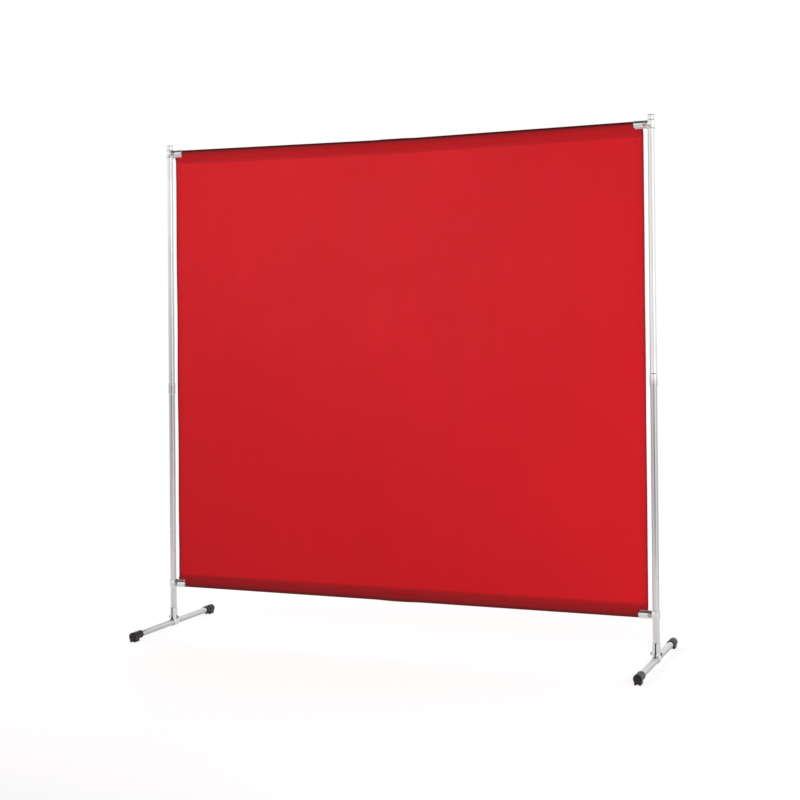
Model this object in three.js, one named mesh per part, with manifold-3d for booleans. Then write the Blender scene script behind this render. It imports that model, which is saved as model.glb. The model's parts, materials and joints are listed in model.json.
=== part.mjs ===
// Free-standing welding curtain screen.
//
// Two posts, each of two tubes joined by a swaged socket, stand on foot tubes with rubber caps.
// A two-part rail joins the posts at the top and another near the bottom, and a PVC curtain with
// a welded tunnel round each rail fills the space between them. Wherever two tubes meet, a clamp
// tee of two pressed halves grips both with one bolt and nut.
//
// Millimetres. +X runs along the screen, +Y from its front to its back and +Z up. The origin is
// on the floor, midway between the posts.

import * as THREE from "three";
import { mergeVertices } from "three/addons/utils/BufferGeometryUtils.js";
import Module from "manifold-3d";

const wasm = await Module();
wasm.setup();

// Overall sizes
const HEIGHT = 2000; // floor to the tops of the posts
const POST_X = 1008.5; // middle of the screen to a post's axis
const FOOT_LENGTH = 633; // over a foot's two caps
const FOOT_AXIS_Z = 22;
const BOTTOM_RAIL_Z = 183;
const TOP_RAIL_Z = 1965;
const RAIL_SAG = 9; // how far the top rail's joint hangs below its ends

// Tubes
const TUBE_RADIUS = 12.5;
const TUBE_WALL = 1.5;
const SOCKET_INNER = 13;
const SOCKET_OUTER = 14.3;
const SOCKET_DEPTH = 42;
const SOCKET_TAPER = 5;
const SOCKET_GRIP = 38; // how far a plain end reaches into a socket
const LEFT_SOCKET_RIM_Z = 1012.5; // the left post's lower tube carries the socket
const RIGHT_SOCKET_RIM_Z = 1014; // the right post's upper tube carries it
const RAIL_SOCKET_RIM_X = -22; // the right half of each rail carries it

// Clamp tees
const TEE_BORE = 12.8;
const TEE_OUTER = 15;
const TEE_COLLAR_LENGTH = 33; // along the through tube
const TEE_REACH = 60; // from the through tube's axis to the sleeve's end
const TEE_SLIT = 4.5; // between the halves along the branch tube
const TEE_BACK_SLIT = 1; // between the halves behind the through tube
const TEE_WEDGE_TIP_X = 34; // the slit opens into a wedge from here to the collar
const TEE_WEDGE_ROOT_X = 12;
const TEE_WEDGE_WIDTH = 11;
const TEE_SEAT = 15.6; // split plane to the flat seats of bolt and nut
const BRANCH_END_X = 25.5; // where a branch tube ends inside its tee

// M6 flange bolt and nut
const BOLT_X = 20;
const BOLT_RADIUS = 3;
const BOLT_HOLE_RADIUS = 3.4;
const BOLT_FLANGE_RADIUS = 7;
const BOLT_FLANGE_THICKNESS = 1.5;
const HEX_RADIUS = 5.77; // over the corners, 10 mm across the flats
const BOLT_HEAD_HEIGHT = 6;
const NUT_HEIGHT = 5;
const NUT_HOLE_RADIUS = 3.3;
const SEAT_GAP = 0.3;

// Foot caps
const CAP_LENGTH = 60;
const CAP_RADIUS = 15.8;
const CAP_BORE_DEPTH = 52;
const CAP_HEAD_LENGTH = 38; // the outer stretch, which carries the pad
const CAP_HEAD_RADIUS = 16;
const CAP_PAD_HALF_WIDTH = 12.5;
const CAP_PAD_CORNER = 3.5;
const CAP_ARCH_RADIUS = 4;

// Post plugs
const PLUG_FLANGE = 1.5;
const PLUG_BARREL_RADIUS = 10.7;
const PLUG_BARREL_LENGTH = 12;

// Curtain
const CURTAIN_HALF_WIDTH = 981;
const CURTAIN_THICKNESS = 0.5;
const TUNNEL_INNER = 14.8;
const TUNNEL_OUTER = TUNNEL_INNER + CURTAIN_THICKNESS;
const TUNNEL_DEPTH = 32; // rail axis to the point where the tunnel's sides meet
const SEAM_WIDTH = 12; // the doubled, welded band beside the tunnel
const TUNNEL_HALF_LENGTH = 946; // the tunnels stop short of the tees
const CURTAIN_END_GAP = 0.6; // between a cut corner and the tee beside it

// Fineness of the curved faces
const TUBE_SIDES = 24;
const BOLT_SIDES = 12;
const ARC_STEPS = 12;
const MERGE_TOLERANCE = 1e-3;

const X_AXIS = new THREE.Vector3(1, 0, 0);
const Y_AXIS = new THREE.Vector3(0, 1, 0);
const Z_AXIS = new THREE.Vector3(0, 0, 1);

// ---------------------------------------------------------------------------------------------
// Materials

const finish = (color, roughness, metalness) =>
  new THREE.MeshStandardMaterial({ color, roughness, metalness });
const aluminium = () => finish(0xcfd0d1, 0.32, 0.9);
const zincPlate = () => finish(0xc2c4bd, 0.38, 0.9);
const boltSteel = () => finish(0x8e918f, 0.4, 0.9);
const rubber = () => finish(0x1d1d1e, 0.75, 0);
const plugPlastic = () => finish(0x2c2d2f, 0.6, 0);
const redVinyl = () => finish(0xcf2027, 0.45, 0);

// ---------------------------------------------------------------------------------------------
// Solids

function toSolid(geometry) {
  const bare = geometry.index ? geometry.toNonIndexed() : geometry.clone();
  bare.deleteAttribute("normal");
  bare.deleteAttribute("uv");
  const merged = mergeVertices(bare, MERGE_TOLERANCE);
  const mesh = new wasm.Mesh({
    numProp: 3,
    vertProperties: merged.attributes.position.array,
    triVerts: new Uint32Array(merged.index.array),
  });
  return new wasm.Manifold(mesh);
}

function toGeometry(solid) {
  const { vertProperties, triVerts } = solid.getMesh();
  const geometry = new THREE.BufferGeometry();
  geometry.setAttribute("position", new THREE.BufferAttribute(vertProperties, 3));
  geometry.setIndex(new THREE.BufferAttribute(triVerts, 1));
  geometry.computeVertexNormals();
  return geometry;
}

// A round or many-sided rod along +Z from z = 0.
function rod(radius, length, sides = TUBE_SIDES) {
  const geometry = new THREE.CylinderGeometry(radius, radius, length, sides);
  return geometry.rotateX(Math.PI / 2).translate(0, 0, length / 2);
}

const alongX = (geometry) => geometry.rotateY(Math.PI / 2);
const alongY = (geometry) => geometry.rotateX(-Math.PI / 2);

function block([x0, y0, z0], [x1, y1, z1]) {
  const geometry = new THREE.BoxGeometry(x1 - x0, y1 - y0, z1 - z0);
  return geometry.translate((x0 + x1) / 2, (y0 + y1) / 2, (z0 + z1) / 2);
}

// A [radius, z] profile turned about the Z axis.
function turned(profile, sides = TUBE_SIDES) {
  const points = profile.map(([radius, z]) => new THREE.Vector2(radius, z));
  return new THREE.LatheGeometry(points, sides).rotateX(Math.PI / 2);
}

// ---------------------------------------------------------------------------------------------
// Tubes

// How far a rail that sags by a given amount in the middle hangs below its ends. Each half is
// straight, so the distance outwards from the middle is negative past the joint.
function drop(outwards, sag) {
  const pivot = POST_X - (BRANCH_END_X + TEE_REACH) / 2;
  return sag * (1 - outwards / pivot);
}

// A tube along +Z from z = 0. A socketed one is swaged out at its far end.
function tube(length, socketed = false) {
  const bore = TUBE_RADIUS - TUBE_WALL;
  const neck = length - SOCKET_DEPTH;
  const farEnd = socketed
    ? [
        [TUBE_RADIUS, neck - SOCKET_TAPER],
        [SOCKET_OUTER, neck],
        [SOCKET_OUTER, length],
        [SOCKET_INNER, length],
        [SOCKET_INNER, neck],
        [bore, neck - SOCKET_TAPER],
      ]
    : [
        [TUBE_RADIUS, length],
        [bore, length],
      ];
  return turned([[bore, 0], [TUBE_RADIUS, 0], ...farEnd, [bore, 0]]);
}

// ---------------------------------------------------------------------------------------------
// Clamp tee. The through tube runs along Z, the branch tube along +X and the bolt along Y.

// The half on the +Y side of the split plane.
function teeHalf() {
  const past = 1; // cutters run this far past what they cut
  const collar = rod(TEE_OUTER, TEE_COLLAR_LENGTH).translate(0, 0, -TEE_COLLAR_LENGTH / 2);
  const sleeve = alongX(rod(TEE_OUTER, TEE_REACH));
  const seat = alongY(rod(BOLT_FLANGE_RADIUS, TEE_SEAT)).translate(BOLT_X, 0, 0);
  const throughBore = rod(TEE_BORE, TEE_COLLAR_LENGTH + 2 * past);
  throughBore.translate(0, 0, -TEE_COLLAR_LENGTH / 2 - past);
  const branchBore = alongX(rod(TEE_BORE, TEE_REACH + past));
  const boltHole = alongY(rod(BOLT_HOLE_RADIUS, TEE_SEAT + past, BOLT_SIDES));
  boltHole.translate(BOLT_X, 0, 0);

  const reach = TEE_COLLAR_LENGTH;
  const otherSide = block([-reach, -reach, -reach], [TEE_REACH + past, 0, reach]);
  const backSlit = block([-reach, -past, -reach], [0, TEE_BACK_SLIT / 2, reach]);
  const slit = block([-past, -past, -reach], [TEE_REACH + past, TEE_SLIT / 2, reach]);
  const wedgeShape = new THREE.Shape([
    new THREE.Vector2(TEE_WEDGE_ROOT_X, -TEE_WEDGE_WIDTH / 2),
    new THREE.Vector2(TEE_WEDGE_TIP_X, 0),
    new THREE.Vector2(TEE_WEDGE_ROOT_X, TEE_WEDGE_WIDTH / 2),
  ]);
  const wedge = new THREE.ExtrudeGeometry(wedgeShape, {
    depth: 2 * reach,
    bevelEnabled: false,
  }).translate(0, 0, -reach);

  const outside = [sleeve, seat].map(toSolid).reduce((a, b) => a.add(b), toSolid(collar));
  const cutters = [throughBore, branchBore, boltHole, otherSide, backSlit, slit, wedge];
  return toGeometry(cutters.map(toSolid).reduce((a, b) => a.subtract(b), outside));
}

// Head on the +Y side.
function teeBolt() {
  const headSeat = TEE_SEAT + SEAT_GAP;
  const shankLength = 2 * headSeat + BOLT_HEAD_HEIGHT;
  const flange = rod(BOLT_FLANGE_RADIUS, BOLT_FLANGE_THICKNESS).translate(0, 0, shankLength);
  const hex = rod(HEX_RADIUS, BOLT_HEAD_HEIGHT, 6).translate(0, 0, shankLength);
  const shank = rod(BOLT_RADIUS, shankLength + BOLT_FLANGE_THICKNESS / 2, BOLT_SIDES);
  const bolt = toGeometry(toSolid(shank).add(toSolid(flange)).add(toSolid(hex)));
  return alongY(bolt).translate(BOLT_X, headSeat - shankLength, 0);
}

// Under the seat on the -Y side.
function teeNut() {
  const past = 1;
  const hole = rod(NUT_HOLE_RADIUS, NUT_HEIGHT + 2 * past, BOLT_SIDES).translate(0, 0, -past);
  const nut = toGeometry(toSolid(rod(HEX_RADIUS, NUT_HEIGHT, 6)).subtract(toSolid(hole)));
  return alongY(nut).translate(BOLT_X, -TEE_SEAT - SEAT_GAP - NUT_HEIGHT, 0);
}

// ---------------------------------------------------------------------------------------------
// Foot cap, with its axis along +Z from its mouth and its pad towards -Y.

function footCap() {
  const floor = -FOOT_AXIS_Z;
  const outline = new THREE.Shape();
  const side = CAP_PAD_HALF_WIDTH;
  const corner = CAP_PAD_CORNER;
  const shoulder = Math.acos(side / CAP_HEAD_RADIUS); // where the round top meets the pad's sides
  outline.moveTo(CAP_ARCH_RADIUS, floor);
  outline.lineTo(side - corner, floor);
  outline.absarc(side - corner, floor + corner, corner, -Math.PI / 2, 0, false);
  outline.absarc(0, 0, CAP_HEAD_RADIUS, -shoulder, Math.PI + shoulder, false);
  outline.absarc(corner - side, floor + corner, corner, Math.PI, 1.5 * Math.PI, false);
  outline.lineTo(-CAP_ARCH_RADIUS, floor);
  outline.absarc(0, floor, CAP_ARCH_RADIUS, Math.PI, 0, true);
  const head = new THREE.ExtrudeGeometry(outline, {
    depth: CAP_HEAD_LENGTH,
    curveSegments: ARC_STEPS,
    bevelEnabled: false,
  }).translate(0, 0, CAP_LENGTH - CAP_HEAD_LENGTH);
  const past = 1;
  const bore = rod(TEE_BORE, CAP_BORE_DEPTH + past).translate(0, 0, -past);
  const sleeve = toSolid(rod(CAP_RADIUS, CAP_LENGTH - past));
  return toGeometry(sleeve.add(toSolid(head)).subtract(toSolid(bore)));
}

// ---------------------------------------------------------------------------------------------
// Post plug, with the top of its flange at z = 0.

function postPlug() {
  return turned([
    [0, -PLUG_FLANGE - PLUG_BARREL_LENGTH],
    [PLUG_BARREL_RADIUS, -PLUG_FLANGE - PLUG_BARREL_LENGTH],
    [PLUG_BARREL_RADIUS, -PLUG_FLANGE],
    [TUBE_RADIUS, -PLUG_FLANGE],
    [TUBE_RADIUS, 0],
    [0, 0],
  ]);
}

// ---------------------------------------------------------------------------------------------
// Curtain

// The points of a tunnel's section, from the foot of its +Y side round the rail to the foot of
// its -Y side. The sides are straight and touch the round part; up is +1 for a rail at the top.
function tunnelOutline(radius, halfFoot, depth, railZ, up) {
  const foot = new THREE.Vector2(halfFoot, -depth);
  const start = foot.angle() - 2 * Math.PI + Math.acos(radius / foot.length());
  const points = [foot];
  for (let i = 0; i <= ARC_STEPS; i += 1) {
    const angle = start + ((Math.PI - 2 * start) * i) / ARC_STEPS;
    points.push(new THREE.Vector2(radius * Math.cos(angle), radius * Math.sin(angle)));
  }
  if (halfFoot > 0) points.push(new THREE.Vector2(-halfFoot, -depth));
  return points.map((point) => new THREE.Vector2(point.x, railZ + up * point.y));
}

// The curtain's section, in (y, z).
function curtainSection() {
  const half = CURTAIN_THICKNESS / 2;
  const seam = CURTAIN_THICKNESS;
  const seamEnd = TUNNEL_DEPTH + SEAM_WIDTH;
  const top = tunnelOutline(TUNNEL_OUTER, seam, TUNNEL_DEPTH, TOP_RAIL_Z, 1);
  const bottom = tunnelOutline(TUNNEL_OUTER, seam, TUNNEL_DEPTH, BOTTOM_RAIL_Z, -1);
  const pointAt = (y, z) => new THREE.Vector2(y, z);
  const section = new THREE.Shape([
    pointAt(half, BOTTOM_RAIL_Z + seamEnd),
    pointAt(half, TOP_RAIL_Z - seamEnd),
    pointAt(seam, TOP_RAIL_Z - seamEnd),
    ...top,
    pointAt(-seam, TOP_RAIL_Z - seamEnd),
    pointAt(-half, TOP_RAIL_Z - seamEnd),
    pointAt(-half, BOTTOM_RAIL_Z + seamEnd),
    pointAt(-seam, BOTTOM_RAIL_Z + seamEnd),
    ...bottom.reverse(),
    pointAt(seam, BOTTOM_RAIL_Z + seamEnd),
  ]);
  const innerDepth = TUNNEL_DEPTH - 2 * CURTAIN_THICKNESS;
  section.holes = [
    tunnelOutline(TUNNEL_INNER, 0, innerDepth, TOP_RAIL_Z, 1),
    tunnelOutline(TUNNEL_INNER, 0, innerDepth, BOTTOM_RAIL_Z, -1),
  ].map((points) => new THREE.Path(points));
  return section;
}

function curtain() {
  const width = 2 * CURTAIN_HALF_WIDTH;
  const sheet = new THREE.ExtrudeGeometry(curtainSection(), {
    depth: width,
    steps: 2, // the middle station lets the sheet follow the sagging rail
    bevelEnabled: false,
  });
  sheet.applyMatrix4(new THREE.Matrix4().makeBasis(Y_AXIS, Z_AXIS, X_AXIS));
  sheet.translate(-CURTAIN_HALF_WIDTH, 0, 0);

  const place = sheet.attributes.position;
  for (let i = 0; i < place.count; i += 1) {
    const height = (place.getZ(i) - BOTTOM_RAIL_Z) / (TOP_RAIL_Z - BOTTOM_RAIL_Z);
    const share = THREE.MathUtils.clamp(height, 0, 1);
    place.setZ(i, place.getZ(i) - share * drop(Math.abs(place.getX(i)), RAIL_SAG));
  }

  // The corners are cut away to clear the tees.
  const reach = 100;
  const cut = TEE_OUTER + CURTAIN_END_GAP;
  const corners = [];
  for (const end of [-1, 1]) {
    const near = end * TUNNEL_HALF_LENGTH;
    const far = near + end * reach;
    const [x0, x1] = [Math.min(near, far), Math.max(near, far)];
    corners.push(block([x0, -reach, TOP_RAIL_Z - cut], [x1, reach, TOP_RAIL_Z + reach]));
    corners.push(block([x0, -reach, BOTTOM_RAIL_Z - reach], [x1, reach, BOTTOM_RAIL_Z + cut]));
  }
  return toGeometry(corners.map(toSolid).reduce((a, b) => a.subtract(b), toSolid(sheet)));
}

// ---------------------------------------------------------------------------------------------
// Assembly

const screen = new THREE.Group();

function add(parent, name, geometry, material) {
  const mesh = new THREE.Mesh(geometry, material);
  mesh.name = name;
  parent.add(mesh);
  return mesh;
}

// Turns an object so that its own axes lie along the three given ones.
function turn(object, x, y, z) {
  object.quaternion.setFromRotationMatrix(new THREE.Matrix4().makeBasis(x, y, z));
}

const reversed = (axis) => axis.clone().negate();

// A tube from one point towards another; a socket is at the far end.
function addTube(name, from, to, socketed = false) {
  const along = new THREE.Vector3().subVectors(to, from);
  const mesh = add(screen, name, tube(along.length(), socketed), aluminium());
  mesh.quaternion.setFromUnitVectors(Z_AXIS, along.normalize());
  mesh.position.copy(from);
}

function addPosts() {
  const foot = FOOT_AXIS_Z + BRANCH_END_X;
  const head = HEIGHT - PLUG_FLANGE - SEAT_GAP;
  const left = (z) => new THREE.Vector3(-POST_X, 0, z);
  const right = (z) => new THREE.Vector3(POST_X, 0, z);
  addTube("post_left_lower", left(foot), left(LEFT_SOCKET_RIM_Z), true);
  addTube("post_left_upper", left(LEFT_SOCKET_RIM_Z - SOCKET_GRIP), left(head));
  addTube("post_right_lower", right(foot), right(RIGHT_SOCKET_RIM_Z + SOCKET_GRIP));
  addTube("post_right_upper", right(head), right(RIGHT_SOCKET_RIM_Z), true);
  for (const [side, at] of [["left", left], ["right", right]]) {
    const plug = add(screen, `post_plug_${side}`, postPlug(), plugPlastic());
    plug.position.copy(at(HEIGHT));
  }
}

// The right half of a rail carries the socket, near the middle of the screen.
function addRail(level, z, sag) {
  const end = POST_X - BRANCH_END_X;
  const left = (x) => new THREE.Vector3(x, 0, z - drop(-x, sag));
  const right = (x) => new THREE.Vector3(x, 0, z - drop(x, sag));
  addTube(`${level}_rail_left`, left(-end), left(RAIL_SOCKET_RIM_X + SOCKET_GRIP));
  addTube(`${level}_rail_right`, right(end), right(RAIL_SOCKET_RIM_X), true);
}

// A tee at a point, its sleeve along one axis and its bolt's head along another. The halves are
// named from the head's side to the nut's.
function addTee(name, at, sleeve, head, halves) {
  const tee = new THREE.Group();
  tee.position.copy(at);
  turn(tee, sleeve, head, new THREE.Vector3().crossVectors(sleeve, head));
  screen.add(tee);
  add(tee, `tee_${name}_${halves[0]}`, teeHalf(), zincPlate());
  const otherHalf = add(tee, `tee_${name}_${halves[1]}`, teeHalf(), zincPlate());
  otherHalf.rotation.x = Math.PI;
  add(tee, `tee_${name}_bolt`, teeBolt(), boltSteel());
  add(tee, `tee_${name}_nut`, teeNut(), boltSteel());
}

function addTees() {
  const front = reversed(Y_AXIS);
  for (const [level, z] of [["top", TOP_RAIL_Z], ["bottom", BOTTOM_RAIL_Z]]) {
    const halves = ["front", "back"];
    addTee(`${level}_left`, new THREE.Vector3(-POST_X, 0, z), X_AXIS, front, halves);
    addTee(`${level}_right`, new THREE.Vector3(POST_X, 0, z), reversed(X_AXIS), front, halves);
  }
  const foot = (x) => new THREE.Vector3(x, 0, FOOT_AXIS_Z);
  addTee("foot_left", foot(-POST_X), Z_AXIS, X_AXIS, ["inner", "outer"]);
  addTee("foot_right", foot(POST_X), Z_AXIS, X_AXIS, ["outer", "inner"]);
}

function addFoot(side, x) {
  const endGap = 0.5;
  const tubeEnd = FOOT_LENGTH / 2 - CAP_LENGTH + CAP_BORE_DEPTH - endGap;
  const at = (y) => new THREE.Vector3(x, y, FOOT_AXIS_Z);
  addTube(`foot_tube_${side}`, at(-tubeEnd), at(tubeEnd));
  const mouth = FOOT_LENGTH / 2 - CAP_LENGTH;
  const front = add(screen, `foot_cap_${side}_front`, footCap(), rubber());
  front.position.copy(at(-mouth));
  turn(front, X_AXIS, Z_AXIS, reversed(Y_AXIS));
  const back = add(screen, `foot_cap_${side}_back`, footCap(), rubber());
  back.position.copy(at(mouth));
  turn(back, reversed(X_AXIS), Z_AXIS, Y_AXIS);
}

addPosts();
addRail("top", TOP_RAIL_Z, RAIL_SAG);
addRail("bottom", BOTTOM_RAIL_Z, 0);
addTees();
addFoot("left", -POST_X);
addFoot("right", POST_X);
add(screen, "curtain", curtain(), redVinyl());

export default screen;
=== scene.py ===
"""The looks of a free-standing welding curtain screen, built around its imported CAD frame.

Every CAD node is replaced by a finer piece in the same place: turned tubes with swaged sockets,
pressed clamp tees with rounded edges, flanged bolts and nuts with cut threads, moulded rubber caps
and one sheet of red PVC folded and welded round both rails.

The frame is in metres. The builders of the small pieces work in millimetres, in a local frame of
their own, and MM turns their points into metres.
"""

import json
import math

import bmesh
import bpy
import numpy as np
from mathutils import Matrix, Vector


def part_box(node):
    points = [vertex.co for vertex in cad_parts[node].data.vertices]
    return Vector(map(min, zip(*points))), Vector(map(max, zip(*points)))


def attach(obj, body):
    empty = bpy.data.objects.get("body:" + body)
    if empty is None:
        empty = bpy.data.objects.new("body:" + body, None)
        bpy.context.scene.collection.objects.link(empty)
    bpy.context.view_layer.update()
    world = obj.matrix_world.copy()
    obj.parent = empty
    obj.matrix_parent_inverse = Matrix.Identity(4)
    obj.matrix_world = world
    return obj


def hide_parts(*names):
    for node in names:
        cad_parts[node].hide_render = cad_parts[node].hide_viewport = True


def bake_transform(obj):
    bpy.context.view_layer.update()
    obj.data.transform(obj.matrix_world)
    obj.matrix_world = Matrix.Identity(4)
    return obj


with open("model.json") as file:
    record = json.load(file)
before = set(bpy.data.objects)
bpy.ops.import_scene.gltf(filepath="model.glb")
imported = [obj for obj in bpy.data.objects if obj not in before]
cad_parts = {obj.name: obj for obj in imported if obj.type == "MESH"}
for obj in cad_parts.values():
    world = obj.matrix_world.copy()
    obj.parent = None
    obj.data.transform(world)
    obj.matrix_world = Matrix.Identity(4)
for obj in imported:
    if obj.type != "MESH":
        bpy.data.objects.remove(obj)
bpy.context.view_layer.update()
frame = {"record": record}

MM = 0.001
PLACES = np.random.default_rng(7)  # where each piece lies in its material's pattern
BODY_OF = {
    node: body
    for body, nodes in frame["record"]["behaviour"]["bodies"].items()
    for node in nodes
}

# Tubes, in millimetres
TUBE_WALL = 1.5
SOCKET_WALL = 1.3
SOCKET_DEPTH = 42
SOCKET_TAPER = 5
RIM_ROUNDING = 0.45
TUBE_SIDES = 72
RAIL_SAG = 9  # how far the top rail's joint hangs below its ends

# Clamp tees, in millimetres
TEE_REACH = 60
TEE_COLLAR = 33
TEE_BORE = 12.8
TEE_OUTER = 15
TEE_SEAT = 15.6
BOLT_X = 20
SEAT_GAP = 0.3

# Curtain, in millimetres
SHEET = 0.5  # its thickness
TOP_TUNNEL = 32  # rail axis to where a tunnel's sides meet
BOTTOM_TUNNEL = 29
FLAP = 12  # welded to the panel beyond that
HEM = 24  # folded to the back at each side
HEM_WELD = 9  # along the hem's inner edge
HEM_SHADE = 16.2  # of painted shade towards the fold, standing in for light the double sheet keeps back
TUNNEL_END = 946  # from the middle of the screen
RAIL_GAP = 0.3  # between the sheet and what it lies on


X_AXIS, Y_AXIS, Z_AXIS = (Vector(axis) for axis in np.eye(3))


def middle(node):
    low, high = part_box(node)
    return (low + high) / 2


def half_size(node):
    low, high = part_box(node)
    return (high - low) / 2


POST_X = middle("foot_tube_right").x / MM
TOP_RAIL_Z = middle("tee_top_left_front").z / MM
BOTTOM_RAIL_Z = middle("tee_bottom_left_front").z / MM
FOOT_AXIS_Z = middle("foot_tube_left").z / MM
TUBE_RADIUS = half_size("foot_tube_left").x / MM
SOCKET_RADIUS = half_size("post_left_lower").x / MM
CURTAIN_EDGE = half_size("curtain").x / MM


# ---------- Materials


def add_node(tree, kind, inputs=(), **settings):
    """Adds a shader node. inputs maps its sockets to values or to other nodes' sockets."""
    node = tree.nodes.new("ShaderNode" + kind)
    for name, value in settings.items():
        setattr(node, name, value)
    for name, value in dict(inputs).items():
        if isinstance(value, bpy.types.NodeSocket):
            tree.links.new(value, node.inputs[name])
        else:
            node.inputs[name].default_value = value
    return node


def eased(tree, value, start, end, low=0.0, high=1.0):
    """A value that goes smoothly from low to high as the given one goes from start to end."""
    inputs = {"Value": value, "From Min": start, "From Max": end, "To Min": low, "To Max": high}
    node = add_node(tree, "MapRange", inputs, interpolation_type="SMOOTHSTEP")
    return node.outputs["Result"]


class Surface:
    """A Principled material whose patterns are laid out by a vector stored on the mesh."""

    def __init__(self, name, metallic=0.0, specular=0.5):
        self.material = bpy.data.materials.new(name)
        self.material.use_nodes = True
        self.tree = self.material.node_tree
        self.shader = self.tree.nodes["Principled BSDF"]
        self.shader.inputs["Metallic"].default_value = metallic
        self.shader.inputs["Specular IOR Level"].default_value = specular
        self.place = self.attribute("grain").outputs["Vector"]

    def attribute(self, name):
        return add_node(self.tree, "Attribute", attribute_name=name)

    def math(self, operation, a, b=0.0):
        return add_node(self.tree, "Math", {0: a, 1: b}, operation=operation).outputs[0]

    def plus(self, a, b):
        return self.math("ADD", a, b)

    def times(self, a, b):
        return self.math("MULTIPLY", a, b)

    def noise(self, scale, detail=2.0, roughness=0.5):
        """Noise with its own scale along each axis of the pattern, in cycles per metre."""
        place = add_node(self.tree, "VectorMath", {0: self.place, 1: scale}, operation="MULTIPLY")
        inputs = {"Vector": place.outputs[0], "Scale": 1.0}
        inputs.update({"Detail": detail, "Roughness": roughness})
        return add_node(self.tree, "TexNoise", inputs).outputs["Fac"]

    def between(self, value, low, high, start=0.3, end=0.7):
        """The range of a noise, from start to end, spread from low to high."""
        return eased(self.tree, value, start, end, low, high)

    def mix(self, factor, a, b):
        """A colour between a and b. In colour mode a Mix node takes them at inputs 6 and 7."""
        inputs = {0: factor, 6: a, 7: b}
        return add_node(self.tree, "Mix", inputs, data_type="RGBA").outputs[2]

    def bump(self, height, distance, strength, under=None):
        """A normal raised by a height from 0 to 1, which is distance metres."""
        inputs = {"Height": height, "Distance": distance, "Strength": strength}
        if under is not None:
            inputs["Normal"] = under
        return add_node(self.tree, "Bump", inputs).outputs["Normal"]

    def finish(self, colour, roughness, normal):
        """Links the material's colour, roughness and normal, and returns the material."""
        inputs = {"Base Color": colour, "Roughness": roughness, "Normal": normal}
        for name, socket in inputs.items():
            self.tree.links.new(socket, self.shader.inputs[name])
        return self.material


def drawn_aluminium(name, tone):
    """Tube drawn along its axis, Z in the pattern, handled for a few years, with painted shade,
    near black, where a clamp grips it. tone scales its brightness; the foot tubes' darker copy is
    painted shade."""
    s = Surface(name, metallic=1.0)

    def grey(level):
        return (level * tone, level * tone, level * tone * 0.994, 1)

    lines = s.noise((700, 700, 2.5), detail=3)
    bands = s.noise((120, 120, 0.8), detail=2)
    smudges = s.noise((26, 26, 9), detail=4, roughness=0.6)
    scuffs = s.between(s.noise((90, 90, 900), detail=1), 0, 1, 0.7, 0.76)
    scuffed = s.times(scuffs, s.between(smudges, 0, 1, 0.45, 0.62))
    clean = s.mix(s.between(lines, 0, 1), grey(0.79), grey(0.88))
    toned = s.mix(s.between(smudges, 0, 0.35), clean, grey(0.7))
    bright = s.mix(scuffed, toned, grey(0.92))
    # painted shade, near black, on the part of a tube that lies inside a clamp
    painted_grip_shade = s.attribute("edge").outputs["Fac"]
    colour = s.mix(painted_grip_shade, bright, (0.07, 0.068, 0.064, 1))
    rough = s.plus(s.between(lines, 0.12, 0.18), s.between(smudges, 0.0, 0.07))
    scuffed_rough = s.plus(rough, s.times(scuffed, 0.12))
    roughness = s.plus(scuffed_rough, s.times(painted_grip_shade, 0.3))
    relief = s.bump(bands, 0.0004, 0.25)
    normal = s.bump(lines, 0.00006, 0.5, under=relief)
    return s.finish(colour, roughness, normal)


def zinc_plate():
    """Pressed steel with a thin, faintly greenish zinc finish, worn bright on its edges."""
    s = Surface("zinc_plate", metallic=1.0)
    clouds = s.noise((60, 60, 60), detail=4, roughness=0.6)
    grain = s.noise((900, 900, 900), detail=3)
    draw = s.noise((1500, 150, 150), detail=2)
    edge = s.between(s.attribute("edge").outputs["Fac"], 0, 1, 0.12, 0.5)
    worn = s.times(edge, s.between(clouds, 0.2, 1, 0.35, 0.6))
    plate = s.mix(s.between(clouds, 0, 1), (0.86, 0.87, 0.84, 1), (0.94, 0.95, 0.935, 1))
    speckled = s.mix(s.between(grain, 0, 0.2), plate, (0.68, 0.69, 0.67, 1))
    colour = s.mix(worn, speckled, (0.96, 0.96, 0.95, 1))
    rough = s.plus(s.between(clouds, 0.13, 0.22), s.between(grain, 0, 0.04))
    roughness = s.math("SUBTRACT", rough, s.times(worn, 0.04))
    relief = s.bump(clouds, 0.0006, 0.2)
    normal = s.bump(s.plus(grain, draw), 0.00008, 0.5, under=relief)
    return s.finish(colour, roughness, normal)


def bolt_steel():
    """Darker plated steel of the bolts and nuts."""
    s = Surface("bolt_steel", metallic=1.0)
    clouds = s.noise((220, 220, 220), detail=3)
    turned = s.noise((300, 300, 2600), detail=2)
    edge = s.between(s.attribute("edge").outputs["Fac"], 0, 0.8, 0.15, 0.6)
    plate = s.mix(s.between(clouds, 0, 1), (0.4, 0.403, 0.395, 1), (0.54, 0.54, 0.525, 1))
    colour = s.mix(edge, plate, (0.66, 0.66, 0.64, 1))
    roughness = s.plus(s.between(clouds, 0.2, 0.32), s.between(turned, 0, 0.08))
    normal = s.bump(turned, 0.00006, 0.6)
    return s.finish(colour, roughness, normal)


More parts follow.
